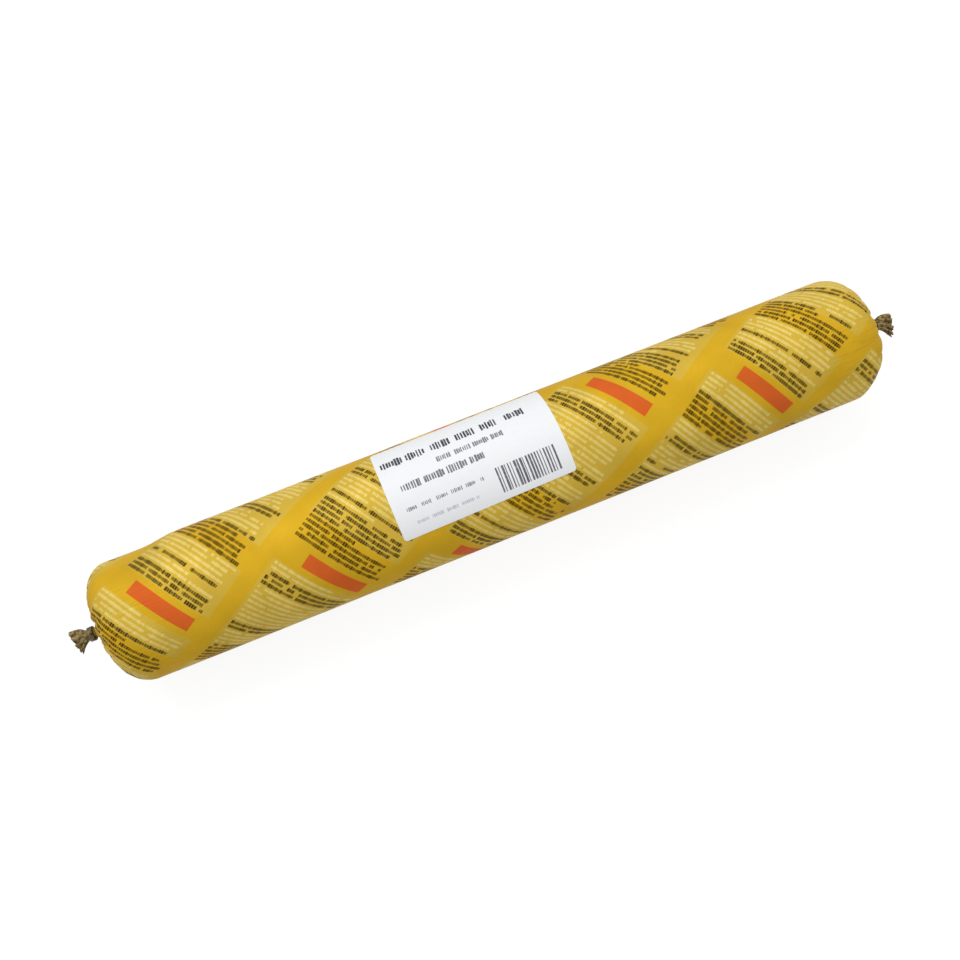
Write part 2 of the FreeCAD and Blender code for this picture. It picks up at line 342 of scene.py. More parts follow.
@dataclass(frozen=True)
class PrintedFilm:
    """Printed foil film: a golden ground, slanting columns of pale and golden blocks with rows of dashes."""

    golden: Colour = ink(220, 175, 36)
    pale: Colour = ink(216, 181, 66)
    cream: Colour = ink(240, 218, 132)
    dark: Colour = ink(72, 54, 10)
    orange: Colour = ink(222, 102, 40)
    bare_foil: Colour = ink(163, 143, 100)
    # fold_shade is a painted shade colour: the film darkens towards it before the necks and in the bare
    # tails' crinkles.
    fold_shade: Colour = ink(78, 62, 34)
    slant: float = math.radians(-56.0)
    column_pitch: float = 46.0
    column_width: float = 39.5
    row_pitch: float = 2.1
    rows_in_block: float = 5.0
    column_step: float = 4.0
    stroke_pitch: float = 0.95
    edge_blur: float = 0.25
    margin: float = 1.2
    row_ends_apart: float = 3.5
    last_row_shorter: float = 18.0
    bar_in_column: Pair = (10.0, 36.0)
    bars_until: float = 160.0
    crease_from: float = 112.0
    crease_full: float = 152.0
    relief_depth: float = 0.5 * MM
    relief_strength: float = 0.45

    def blocks(self) -> List[Triple]:
        """Gives the kinds of block down a column, in order.

        Returns:
            For each block how pale its ground is, which share of its rows is dark, and 1 where it has a bar.
        """
        pale, gold = 1.0, 0.0
        return [
            (pale, 0.2, 0.0), (pale, 0.4, 0.0), (pale, 0.0, 0.0), (pale, 0.6, 0.0), (gold, 0.0, 1.0),
            (gold, 1.0, 0.0), (pale, 0.8, 0.0), (pale, 0.2, 0.0), (pale, 0.4, 0.0), (gold, 1.0, 0.0),
            (pale, 0.2, 0.0), (gold, 0.0, 1.0), (pale, 0.6, 0.0), (pale, 0.2, 0.0), (gold, 1.0, 0.0),
        ]

    def print_colour(self, pen: Pen, along: Wire, round_pack: Wire) -> Wire:
        """Writes the print in the tree.

        Args:
            pen: The pen of the material's tree.
            along: Millimetres along the film.
            round_pack: Millimetres round the pack, from its top towards the back.

        Returns:
            The colour of the print.
        """
        with_rows = along * math.cos(self.slant) + round_pack * math.sin(self.slant)
        across_rows = round_pack * math.cos(self.slant) - along * math.sin(self.slant)
        column = (with_rows / self.column_pitch).floor()
        in_column = with_rows - column * self.column_pitch
        row = (across_rows / self.row_pitch).floor()
        in_row = (across_rows / self.row_pitch).part()
        block = (row / self.rows_in_block).floor()
        row_in_block = row - block * self.rows_in_block
        kinds = self.blocks()
        place = ((block + column * self.column_step) / float(len(kinds))).part() + 0.5 / len(kinds)
        is_pale, dark_rows, is_bar = pen.flags(place, kinds)

        far_edge = in_column.rise(self.column_width + self.edge_blur, self.column_width)
        inside = in_column.rise(0.0, self.edge_blur) * far_edge
        last_row = row_in_block > (self.rows_in_block - 1.5)
        shorter = pen.chance(row, column) * (last_row * self.last_row_shorter + self.row_ends_apart)
        written = (in_column > self.margin) * (in_column < self.column_width - self.margin - shorter)
        words = pen.clouds(pen.joined(with_rows * 0.34, row * 7.7), 1.0, 0.0).rise(0.33, 0.35)
        stroke = with_rows / self.stroke_pitch
        tall = pen.chance(stroke.floor(), row)
        strokes = words * (stroke.part().rise(0.92, 0.66) * 0.6 + 0.4) * (tall * 0.3 + 0.7)
        thin = abs(in_row - 0.5) < (tall * 0.12 + 0.18)
        thick = abs(in_row - 0.5) < (tall * 0.14 + 0.24)

        is_dark_row = (dark_rows * self.rows_in_block - row_in_block) > 0.5
        dark = thick * written * is_dark_row * strokes
        cream = thin * written * is_pale * (1.0 - is_dark_row) * strokes
        block_middle = abs((across_rows / (self.row_pitch * self.rows_in_block)).part() - 0.5)
        bar_start, bar_end = self.bar_in_column
        bar = is_bar * block_middle.rise(0.28, 0.26) * (in_column > bar_start) * (in_column < bar_end)
        bar = bar * (abs(along) < self.bars_until)

        colour = pen.blend(inside * is_pale, self.golden, self.pale)
        colour = pen.blend(cream * 0.85, colour, self.cream)
        colour = pen.blend(dark * inside, colour, self.dark)
        return pen.blend(bar * inside, colour, self.orange)

    def material(self) -> bpy.types.Material:
        """Makes the film's material.

        Returns:
            The material, which reads the film's own map.
        """
        material, pen, shader = new_material("printed_foil_film", {"Specular IOR Level": 0.06})
        along, round_pack = pen.on_map(FilmPack.MAP_NAME, FilmPack.MAP_SHIFT)
        spot = pen.spot()
        colour = self.print_colour(pen, along, round_pack)
        uneven = pen.clouds(spot, 60.0, 3.0)
        colour = pen.blend((uneven - 0.5) * 0.5 + 0.05, colour, self.dark)
        bare_from = FilmPack.BARE_FROM / MM
        # Painted shade: over the last 10 mm before each neck, where the gathered folds crowd in, the film is
        # darkened towards fold_shade.
        neck_painted_shade = abs(along).rise(bare_from - 10.0, bare_from - 2.0)
        colour = pen.blend(neck_painted_shade * 0.72, colour, self.fold_shade)
        past_neck = abs(along).rise(bare_from, bare_from + 2.0)
        # Painted shade: noise darkens the bare tails towards fold_shade, standing in for shade in their
        # crinkles.
        tail_crinkle_shade = pen.clouds(spot, 900.0, 3.0, 1.0)
        bare = pen.blend(tail_crinkle_shade.rise(0.35, 0.62), self.fold_shade, self.bare_foil)
        pen.feed(shader.inputs["Base Color"], pen.blend(past_neck, colour, bare))
        pen.feed(shader.inputs["Metallic"], past_neck * 0.36 + 0.14)
        pen.feed(shader.inputs["Roughness"], uneven * 0.16 + 0.46)
        height = self.relief(pen, spot, along, round_pack)
        bumped(pen, shader, height, self.relief_depth, self.relief_strength)
        return material

    def relief(self, pen: Pen, spot: Wire, along: Wire, round_pack: Wire) -> Wire:
        """Writes the film's fine relief: its grain, slack dents, and creases that run into the gathered ends.

        Args:
            pen: The pen of the material's tree.
            spot: The place on the piece, in metres.
            along: Millimetres along the film.
            round_pack: Millimetres round the pack.

        Returns:
            The relief, about 0.5.
        """
        grain = pen.clouds(spot, 420.0, 4.0, 2.0) * 0.25 + pen.clouds(spot, 90.0, 2.0, 3.0) * 0.50
        drawn_in = abs(along).rise(self.crease_from, self.crease_full)
        lengthwise = pen.clouds(pen.joined(round_pack * 0.34, along * 0.022), 1.0, 2.0, 6.0)
        crease = abs(lengthwise - 0.5).rise(0.0, 0.05) * 0.5
        slant = pen.joined((along + round_pack) * 0.030, (along - round_pack) * 0.11)
        slanting = pen.clouds(slant, 1.0, 2.0, 9.0)
        wrinkle = abs(slanting - 0.5).rise(0.0, 0.022) * 0.16
        return grain + crease * drawn_in + wrinkle


@dataclass(frozen=True)
class LabelPaper:
    """White label paper with rows of small dark blocks and a field of upright bars, none of them readable."""

    paper: Colour = ink(244, 246, 248)
    shade: Colour = ink(212, 216, 226)
    print_dark: Colour = ink(52, 52, 66)
    print_blue: Colour = ink(96, 100, 140)
    rows: Tuple[Tuple[float, float, float, float, float, float], ...] = (
        (9.6, 2.1, -32.0, 26.6, 1.10, 1.00),
        (3.2, 1.3, -12.0, 15.0, 0.80, 0.80),
        (-2.4, 1.6, -28.0, 4.5, 1.00, 0.85),
        (-10.4, 0.85, -29.0, 1.0, 0.64, 0.75),
        (-15.9, 0.75, -27.0, -3.0, 0.64, 0.45),
    )
    bars: Tuple[float, float, float, float] = (6.0, 29.5, -18.2, -8.6)
    bar_pitch: float = 1.18
    strokes_in_word: float = 9.0
    relief_depth: float = 0.10 * MM
    relief_strength: float = 0.4

    def printed(self, pen: Pen, across: Wire, up: Wire) -> Tuple[Wire, Wire]:
        """Writes the label's print in the tree.

        Args:
            pen: The pen of the material's tree.
            across: Millimetres along the label, from its middle.
            up: Millimetres up the label, from its middle.

        Returns:
            How much of the dark print shows, and how much of the bluish one.
        """
        dark: Value = 0.0
        blue: Value = 0.0
        for number, (middle, half_height, start, end, pitch, weight) in enumerate(self.rows):
            cell = ((across - start) / pitch).floor()
            in_cell = ((across - start) / pitch).part()
            draw = pen.chance(cell, 3.0 + number)
            other = pen.chance(cell, 23.0 + number)
            word = pen.chance((cell / self.strokes_in_word).floor(), 71.0 + number)
            gap = (cell / self.strokes_in_word).part() < (word * 0.30 + 0.62)
            low_enough = abs(up - middle) < (other * 0.40 + 0.60) * half_height
            stroke = (in_cell < (draw * 0.42 + 0.46)) * low_enough
            shown = stroke * gap * (across > start) * (across < end) * weight
            if weight < 0.5:
                blue = shown + blue
            else:
                dark = shown + dark
        left, right, low, high = self.bars
        place = (across - left) / self.bar_pitch
        stripe = place.part() < (pen.chance(place.floor(), 45.0) * 0.52 + 0.26)
        field = stripe * (across > left) * (across < right) * (up > low) * (up < high)
        return field * 0.9 + dark, blue

    def material(self) -> bpy.types.Material:
        """Makes the label's material.

        Returns:
            The material, which reads the label's own map.
        """
        plain = {"Roughness": 0.55, "Specular IOR Level": 0.35}
        material, pen, shader = new_material("label_paper", plain)
        across, up = pen.on_map(PaperLabel.MAP_NAME, PaperLabel.MAP_SHIFT)
        spot = pen.spot()
        fibres = pen.clouds(spot, 900.0, 3.0)
        dark, blue = self.printed(pen, across, up)
        worn = fibres.rise(0.25, 0.5) * 0.25 + 0.75
        colour = pen.blend((fibres - 0.5) * 0.25 + 0.04, self.paper, self.shade)
        colour = pen.blend(blue * worn, colour, self.print_blue)
        pen.feed(shader.inputs["Base Color"], pen.blend(dark * worn, colour, self.print_dark))
        rough_side = fibres * 0.6 + pen.clouds(spot, 240.0, 2.0, 4.0) * 0.4
        bumped(pen, shader, rough_side, self.relief_depth, self.relief_strength)
        return material


@dataclass(frozen=True)
class DullAluminium:
    """Soft aluminium strip, rubbed and drawn, as clips are made of, its colours browned and darkened as a
    painted reflection of the golden film and painted shade.
    """

    # light and shade are a lit and a shaded copy of the metal, both browned as a painted reflection of the
    # golden film.
    light: Colour = ink(112, 98, 70)
    shade: Colour = ink(52, 43, 26)
    relief_depth: float = 0.06 * MM
    relief_strength: float = 0.5

    def material(self) -> bpy.types.Material:
        """Makes the clips' material.

        Returns:
            The material, which reads Object coordinates.
        """
        material, pen, shader = new_material("dull_aluminium", {"Metallic": 0.9})
        spot = pen.spot()
        x, y, z = pen.split(spot)
        drawn = pen.clouds(pen.joined(x * 9.0, y, z), 900.0, 3.0)
        # Painted shade: noise patches mix the shaded copy over the lit one.
        clip_shade_patches = pen.clouds(spot, 500.0, 2.0, 5.0)
        pen.feed(shader.inputs["Base Color"], pen.blend(clip_shade_patches.rise(0.42, 0.66), self.light, self.shade))
        pen.feed(shader.inputs["Roughness"], drawn * 0.25 + 0.30)
        bumped(pen, shader, drawn, self.relief_depth, self.relief_strength)
        return material


def linked(name: str, data: bpy.types.ID) -> bpy.types.Object:
    """Makes an object of some data and links it to the scene.

    Args:
        name: The object's name.
        data: Its mesh, camera or light.

    Returns:
        The new object.
    """
    made = bpy.data.objects.new(name, data)
    bpy.context.scene.collection.objects.link(made)
    return made


def mesh_object(name: str, points: np.ndarray, faces: Sequence[Sequence[int]]) -> bpy.types.Object:
    """Makes a smooth mesh object at the origin.

    Args:
        name: The piece's name.
        points: Its points, one row each.
        faces: The point numbers of each face.

    Returns:
        The new object, linked to the scene.
    """
    mesh = bpy.data.meshes.new(name)
    mesh.from_pydata(points.tolist(), [], [list(face) for face in faces])
    mesh.update()
    mesh.shade_smooth()
    return linked(name, mesh)


def face_outwards(thing: bpy.types.Object) -> None:
    """Turns all faces of a closed mesh to the outside, and keeps its cut edges crisp.

    Args:
        thing: The object with that mesh.
    """
    work = bmesh.new()
    work.from_mesh(thing.data)
    bmesh.ops.recalc_face_normals(work, faces=work.faces)
    work.to_mesh(thing.data)
    work.free()
    thing.data.set_sharp_from_angle(angle=CRISP_ANGLE)


def ring_faces(rings: int, count: int) -> List[Face]:
    """Gives the faces between closed rings of points.

    Args:
        rings: How many rings there are.
        count: How many points each ring has.

    Returns:
        The point numbers of each face, ring by ring.
    """
    faces: List[Face] = []
    for base in range(0, (rings - 1) * count, count):
        for step in range(count):
            following = (step + 1) % count
            faces.append((base + step, base + following, base + count + following, base + count + step))
    return faces


def shares(steps: int) -> List[float]:
    """Gives even steps up to 1, without the 0 at the start."""
    return [number / steps for number in range(1, steps + 1)]


def point_values(thing: bpy.types.Object, name: str, values: np.ndarray) -> None:
    """Stores a number or a vector on each point of a mesh.

    Args:
        thing: The object with that mesh.
        name: The attribute's name.
        values: One number or one row of three for each point.
    """
    kind, key = ("FLOAT", "value") if values.ndim == 1 else ("FLOAT_VECTOR", "vector")
    layer = thing.data.attributes.new(name, kind, "POINT")
    layer.data.foreach_set(key, values.astype(np.float32).ravel())


def dress(piece: bpy.types.Object, node: str) -> bpy.types.Object:
    """Turns a piece's faces outwards and rides it on the body, in the place of its CAD node.

    Args:
        piece: The built piece.
        node: The CAD node that it stands for.

    Returns:
        The piece.
    """
    face_outwards(piece)
    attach(piece, "root")
    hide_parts(node)
    faces = sum(len(polygon.vertices) - 2 for polygon in piece.data.polygons)
    log.info("%s stands for %s, %d triangles", piece.name, node, faces)
    return piece


@dataclass
class Station:
    """One ring of film along the pack: where it is, how wide and high, and how strongly it is folded."""

    x: float
    along: float
    half_width: float
    half_height: float
    tilt: float = 0.0
    side: float = 1.0
    gather: float = 0.0
    flute: float = 0.0
    slack: float = 0.0
    face_lean: float = 0.0
    shift_y: float = 0.0
    ragged: float = 0.0
    cut_slope: float = 0.0


@dataclass
class FilmEnd:
    """One gathered end of the film, from the barrel to the cut end of its tail."""

    end: End
    barrel_radius: float
    shoulder_radius: float
    face_lean: float
    tail_length: float
    tail_lean: float
    cut_angle: float
    rise_angle: float = math.radians(10.0)
    throat_radius: float = 3.0 * MM
    neck_radius: float = 2.0 * MM
    neck_length: float = 2.8 * MM
    tail_half_width: float = 4.7 * MM
    tail_half_height: float = 3.1 * MM
    shoulder_steps: int = 26
    face_steps: int = 24
    throat_steps: int = 9
    neck_steps: int = 5
    tail_steps: int = 14
    hollow_rings: Tuple[Pair, ...] = ((0.0, 0.90), (0.7, 0.84), (1.5, 0.66), (2.1, 0.36))

    def reach(self) -> float:
        """Gives the distance from the barrel's end to the tip of the tail's longest fold.

        Returns:
            The distance.
        """
        fold_reach = math.sin(math.radians(80.0)) * self.tail_half_width
        tail = self.tail_length + fold_reach * math.tan(self.cut_angle)
        return self.outline()[-1][0] + self.neck_length + tail

    def outline(self) -> List[Tuple[float, float, float, float]]:
        """Gives the outline from the barrel to the neck.

        Returns:
            For each step its distance out, its radius, its tilt and how strongly it is gathered.
        """
        tilt_end = math.radians(90.0) - self.rise_angle
        steps: List[Tuple[float, float, float, float]] = []
        for part in shares(self.shoulder_steps):
            tilt = tilt_end * part
            radius = self.barrel_radius - self.shoulder_radius * (1.0 - math.cos(tilt))
            steps.append((self.shoulder_radius * math.sin(tilt), radius, tilt, part ** 2))
        start, wide = steps[-1][0], steps[-1][1]
        narrow = self.neck_radius + self.throat_radius * (1.0 - math.cos(tilt_end))
        run = (wide - narrow) / math.tan(tilt_end)
        for part in shares(self.face_steps):
            steps.append((start + run * part, wide + (narrow - wide) * part, tilt_end, 1.0))
        for part in shares(self.throat_steps):
            tilt = tilt_end * (1.0 - part)
            out = start + run + self.throat_radius * (math.sin(tilt_end) - math.sin(tilt))
            radius = self.neck_radius + self.throat_radius * (1.0 - math.cos(tilt))
            steps.append((out, radius, tilt, (1.0 - part) ** 1.3))
        return steps

    def stations(self, barrel_end: float, along: float) -> List[Station]:
        """Gives the rings of film from the barrel outwards.

        Args:
            barrel_end: Where the straight barrel ends on this side.
            along: The film's own length from the pack's middle to there.

        Returns:
            The rings in order, the last one deep in the tail's hollow cut end.
        """
        side = float(self.end.value)
        rings: List[Station] = []
        last_out, last_radius = 0.0, self.barrel_radius
        for out, radius, tilt, gather in self.outline():
            along += math.hypot(out - last_out, radius - last_radius)
            last_out, last_radius = out, radius
            rings.append(Station(barrel_end + side * out, side * along, radius, radius, tilt, side,
                                 gather=gather, slack=1.0, face_lean=self.face_lean))
        neck_start = barrel_end + side * last_out
        for part in shares(self.neck_steps):
            run = self.neck_length * part
            rings.append(Station(neck_start + side * run, side * (along + run),
                                 self.neck_radius, self.neck_radius, side=side))
        neck_end, along = neck_start + side * self.neck_length, along + self.neck_length
        for part in shares(self.tail_steps):
            rings.append(self.tail_ring(neck_end, along, part, 1.0))
        for inset, scale in self.hollow_rings:
            ring = self.tail_ring(neck_end, along, 1.0, scale)
            ring.x -= side * inset * MM
            rings.append(ring)
        return rings

    def tail_ring(self, neck_end: float, along: float, part: float, scale: float) -> Station:
        """Gives one ring of the tail, which fans out and bends to one side.

        Args:
            neck_end: Where the neck ends.
            along: The film's own length to there.
            part: How far down the tail, 0 to 1.
            scale: The ring's size against the tail's outside.

        Returns:
            The ring.
        """
        side = float(self.end.value)
        run = self.tail_length * part
        half_width = self.neck_radius + (self.tail_half_width - self.neck_radius) * part
        half_height = self.neck_radius + (self.tail_half_height - self.neck_radius) * part
        return Station(neck_end + side * run, side * (along + run), half_width * scale, half_height * scale,
                       side=side, flute=part * scale, shift_y=-self.tail_lean * part ** 2,
                       ragged=part ** 2, cut_slope=math.tan(self.cut_angle) * part)


@dataclass(frozen=True)
class SoftHollow:
    """A place where the soft film lies deeper, or fuller where the depth is less than 0.

    Its four places are lengths of film from the pack's middle: it starts, is full, holds and stops there.
    """

    start: float
    full: float
    hold: float
    stop: float
    turn: float
    spread: float
    depth: float

    def depth_at(self, along: np.ndarray, turn: np.ndarray) -> np.ndarray:
        """Gives how deep the hollow is.

        Args:
            along: The film's own length from the pack's middle.
            turn: The angle round the pack.

        Returns:
            The depth at each place.
        """
        def smooth(part: np.ndarray) -> np.ndarray:
            """Eases a share in and out."""
            held = np.clip(part, 0.0, 1.0)
            return held * held * (3.0 - 2.0 * held)

        run_in = smooth((along - self.start) / (self.full - self.start))
        run_out = smooth((self.stop - along) / (self.stop - self.hold))
        off_turn = (turn - self.turn + math.pi) % (2.0 * math.pi) - math.pi
        return self.depth * run_in * run_out * smooth(1.0 - np.abs(off_turn) / self.spread)


class FilmPack:
    """The filled film: barrel, gathered ends, necks and tails, as one closed skin."""

    MAP_NAME = "film_map"
    MAP_SHIFT = (0.25, 0.11)
    BARE_FROM = 0.1762
    SOFT_PLACES = (
        ((-120.0, -134.0, -145.0, -153.0), (79.0, 80.0), 1.5),
        ((144.0, 152.0, 155.0, 163.0), (-92.0, 62.0), 1.2),
        ((-179.5, -181.0, -186.0, -190.0), (75.0, 75.0), -0.8),
        ((-158.0, -163.0, -168.0, -173.0), (80.0, 80.0), 0.6),
        ((163.0, 167.0, 170.0, 173.5), (70.0, 80.0), -0.8),
        ((163.0, 167.0, 170.0, 173.5), (-70.0, 70.0), -0.7),
        ((179.0, 182.0, 186.0, 190.0), (80.0, 75.0), -0.6),
    )

    def __init__(self, columns: int = 384, barrel_rows: int = 78) -> None:
        """Reads the pack's main sizes off its CAD node.

        Args:
            columns: How many points there are round the pack.
            barrel_rows: How many rings the straight barrel has.
        """
        low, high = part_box("film_pack")
        self.columns = columns
        self.barrel_rows = barrel_rows
        self.radius = (high.y - low.y) / 2
        self.axis_height = high.z - self.radius
        self.folds = FilmFolds()
        self.lap_turn = self.folds.lap_turn
        self.ends = {
            End.LEFT: FilmEnd(End.LEFT, self.radius, shoulder_radius=11.9 * MM, face_lean=1.1 * MM,
                              tail_length=5.3 * MM, tail_lean=1.5 * MM, cut_angle=math.radians(15.0)),
            End.RIGHT: FilmEnd(End.RIGHT, self.radius, shoulder_radius=11.6 * MM, face_lean=0.0,
                               tail_length=5.6 * MM, tail_lean=2.6 * MM, cut_angle=math.radians(17.0)),
        }
        self.hollows = [
            SoftHollow(*(place * MM for place in places), *map(math.radians, angles), depth * MM)
            for places, angles, depth in self.SOFT_PLACES
        ]
        tips = {End.LEFT: low.x, End.RIGHT: high.x}
        self.barrel_end = {end: tips[end] - end.value * shape.reach() for end, shape in self.ends.items()}

    @property
    def barrel_middle(self) -> float:
        """Gives the middle of the straight barrel along X."""
        return (self.barrel_end[End.LEFT] + self.barrel_end[End.RIGHT]) / 2

    @property
    def barrel_half(self) -> float:
        """Gives half of the straight barrel's length."""
        return (self.barrel_end[End.RIGHT] - self.barrel_end[End.LEFT]) / 2

    def stations(self) -> List[Station]:
        """Gives all rings of film from the left tail to the right one.

        Returns:
            The rings in order.
        """
        rings = self.ends[End.LEFT].stations(self.barrel_end[End.LEFT], self.barrel_half)[::-1]
        for number in range(self.barrel_rows + 1):
            offset = self.barrel_half * (2.0 * number / self.barrel_rows - 1.0)
            rings.append(Station(self.barrel_middle + offset, offset, self.radius, self.radius, slack=1.0))
        return rings + self.ends[End.RIGHT].stations(self.barrel_end[End.RIGHT], self.barrel_half)

    def skin(self) -> bpy.types.Object:
        """Makes the smooth skin, with its map and the values that the folds are made from.

        Returns:
            The closed skin before it is folded.
        """
        rings = self.stations()
        turn = self.lap_turn - np.arange(self.columns) * 2.0 * math.pi / self.columns

        def column(name: str) -> np.ndarray:
            """Gives one value of all rings, as a column."""
            return np.array([getattr(ring, name) for ring in rings])[:, None]

        shape = (len(rings), self.columns)
        side, tilt = column("side"), column("tilt")
        sin_turn, cos_turn = np.sin(turn)[None, :], np.cos(turn)[None, :]
        lean = column("face_lean") * np.sin(tilt) * column("half_width") / self.radius * sin_turn
        waves = ((0.34, 5, 1.1), (0.26, 11, 0.4), (0.22, 17, 2.0))
        ragged = sum(height * np.sin(count * turn + start) for height, count, start in waves)
        cut = column("cut_slope") * column("half_width") * sin_turn
        x = column("x") + side * (lean + cut - column("ragged") * (0.5 + ragged[None, :] * 0.6) * MM * 0.5)
        y = column("half_width") * sin_turn + column("shift_y")
        z = self.axis_height + column("half_height") * cos_turn
        points = np.stack([np.broadcast_to(values, shape) for values in (x, y, z)], axis=-1)
        inward = np.stack(np.broadcast_arrays(-side * np.sin(tilt) + 0.0 * sin_turn,
                                              -np.cos(tilt) * sin_turn, -np.cos(tilt) * cos_turn), axis=-1)
        flat_points = points.reshape(-1, 3)
        poles = np.stack([points[0].mean(axis=0), points[-1].mean(axis=0)])
        faces = self.grid_faces(len(rings))
        skin = mesh_object("foil_film", np.concatenate([flat_points, poles]), faces)
        stored = {name: column(name) for name in ("gather", "flute", "slack", "along")}
        stored["turn"] = turn[None, :]
        stored["room"] = np.minimum(column("half_width"), column("half_height"))
        stored["sink"] = sum(hollow.depth_at(stored["along"], stored["turn"]) for hollow in self.hollows)
        for name, values in stored.items():
            point_values(skin, name, np.append(np.broadcast_to(values, shape).ravel(), [0.0, 0.0]))
        point_values(skin, "inward", np.concatenate([inward.reshape(-1, 3), np.zeros((2, 3))]))
        self.lay_map(skin, rings)
        return skin

    def grid_faces(self, rows: int) -> List[Face]:
        """Gives the faces of the skin, with both poles closed.

        Args:
            rows: How many rings there are.

        Returns:
            The point numbers of each face: the grid first, then the two fans.
        """
        count = self.columns
        faces = ring_faces(rows, count)
        first, last = rows * count, rows * count + 1
        base = (rows - 1) * count
        faces += [(first, (step + 1) % count, step) for step in range(count)]
        faces += [(last, base + step, base + (step + 1) % count) for step in range(count)]
        return faces

    def lay_map(self, skin: bpy.types.Object, rings: Sequence[Station]) -> None:
        """Lays the film's map: its own length along the pack, and the way round the barrel.

        Args:
            skin: The skin.
            rings: Its rings.
        """
        layer = skin.data.uv_layers.new(name=self.MAP_NAME)
        count = self.columns
        along = np.array([ring.along for ring in rings])
        arc = (self.lap_turn - np.arange(count + 1) * 2.0 * math.pi / count) * self.radius
        spots: List[np.ndarray] = []
        rows, steps = np.meshgrid(np.arange(len(rings) - 1), np.arange(count), indexing="ij")
        for row_shift, step_shift in ((0, 0), (0, 1), (1, 1), (1, 0)):
            spots.append(np.stack([along[rows + row_shift], arc[steps + step_shift]], axis=-1))
        grid = np.stack(spots, axis=2).reshape(-1, 2)
        fans = []
        for ring, order in ((0, (None, 1, 0)), (len(rings) - 1, (None, 0, 1))):
            for step in range(count):
                for shift in order:
                    fans.append((along[ring], arc[step + (shift or 0)]))
        uv = np.concatenate([grid, np.array(fans)]) + np.array(self.MAP_SHIFT)
        layer.data.foreach_set("uv", uv.astype(np.float32).ravel())

    def fold_tree(self) -> bpy.types.NodeTree:
        """Makes the node tree that folds the skin: gathers in the ends, flutes in the tails, slack between.

        Returns:
            The tree, with a named input for each size.
        """
        tree = bpy.data.node_groups.new("film_folds", "GeometryNodeTree")
        face = tree.interface
        face.new_socket("Geometry", in_out="INPUT", socket_type="NodeSocketGeometry")
        for name in self.folds.inputs():
            face.new_socket(name, in_out="INPUT", socket_type="NodeSocketFloat")
        face.new_socket("Film", in_out="INPUT", socket_type="NodeSocketMaterial")
        face.new_socket("Geometry", in_out="OUTPUT", socket_type="NodeSocketGeometry")
        pen = Pen(tree)
        entry, leave = pen.node("NodeGroupInput"), pen.node("NodeGroupOutput")
        given = {name: Wire(pen, entry.outputs[name]) for name in self.folds.inputs()}

        def round_noise(tight: float, spacing: float, scale: float, detail: float, seed: Value) -> Wire:
            """Gives noise that closes round the pack."""
            spot = pen.joined(turn.cos() * tight, turn.sin() * tight, along * spacing)
            return pen.clouds(spot, scale, detail, seed)

        def stored(name: str, kind: str = "FLOAT") -> Wire:
            """Reads a value that the skin carries.

            Args:
                name: The attribute's name.
                kind: Its data type.

            Returns:
                The value.
            """
            read = pen.node("GeometryNodeInputNamedAttribute", data_type=kind)
            read.inputs["Name"].default_value = name
            return Wire(pen, read.outputs["Attribute"])

        turn, gather, flute = stored("turn"), stored("gather"), stored("flute")
        slack, along, room = stored("slack"), stored("along"), stored("room")
        wander = round_noise(1.0, 30.0, 2.2, 1.0, given["Seed"]) - 0.5
        phase = turn * given["Gathers"] / (2.0 * math.pi) + wander * 0.55 * gather.rise(0.0, 0.6)
        number = (phase + 0.5).floor()
        beside = abs(phase - number)
        uneven = (number * 2.4).cos() * 0.22 + 0.78
        valley = beside / (given["Valley share"] * 0.62)
        trough = (1.0 - valley.rise(0.0, 1.0)) * uneven
        crown = (beside * 2.0).rise(0.2, 1.0) * 0.16
        fine = round_noise(7.0, 22.0, 1.6, 1.0, given["Seed"])
        depth = (trough - crown) * gather * given["Gather depth"]
        depth = depth + (fine - 0.42) * gather * given["Fine depth"]
        sharp = round_noise(3.4, 14.0, 1.6, 0.0, given["Seed"] + 3.0)
        crease = 1.0 - abs(sharp - 0.5).rise(0.0, 0.08)
        depth = depth + crease * gather * given["Crease depth"]
        depth = pen.calc("MINIMUM", depth, room * 0.34)
        flutes = (turn * given["Tail folds"] + wander * 1.6).cos() * 0.5 + 0.5
        small = (turn * given["Tail folds"] * 2.0 + 0.9).cos() * 0.18
        depth = depth + (flutes + small) * flute * given["Tail depth"]
        dents = round_noise(0.7, 26.0, 1.5, 1.0, given["Seed"])
        depth = depth + dents.rise(0.45, 0.75) * slack * given["Slack"]
        lap = (given["Lap turn"] - turn).rise(0.34, 0.0)
        depth = depth - lap * (1.0 - gather) * slack * given["Lap height"] + stored("sink")

        push = pen.node("ShaderNodeVectorMath", operation="SCALE")
        pen.feed(push.inputs[0], stored("inward", "FLOAT_VECTOR"))
        pen.feed(push.inputs["Scale"], depth)
        place = pen.node("GeometryNodeSetPosition")
        whole = pen.node("GeometryNodeRealizeInstances")
        finish = pen.node("GeometryNodeSetMaterial")
        for output, taken_by in (
            (entry.outputs["Geometry"], place.inputs["Geometry"]), (push.outputs[0], place.inputs["Offset"]),
            (place.outputs[0], whole.inputs[0]), (whole.outputs[0], finish.inputs["Geometry"]),
            (entry.outputs["Film"], finish.inputs["Material"]), (finish.outputs[0], leave.inputs[0]),
        ):
            tree.links.new(output, taken_by)
        return tree

    def press_flat(self, mesh: bpy.types.Mesh) -> None:
        """Presses the underside flat on the floor, rounding into the flat.

        Args:
            mesh: The folded film.
        """
        co = np.zeros(len(mesh.vertices) * 3)
        mesh.vertices.foreach_get("co", co)
        co = co.reshape(-1, 3)
        soft, floor_reach = 0.25 * MM, 0.02 * MM
        height = co[:, 2]
        pressed = np.maximum(0.0, soft * np.exp((height - soft) / soft) - floor_reach)
        co[:, 2] = np.where(height > soft, height, pressed)
        mesh.vertices.foreach_set("co", co.ravel())
        mesh.update()

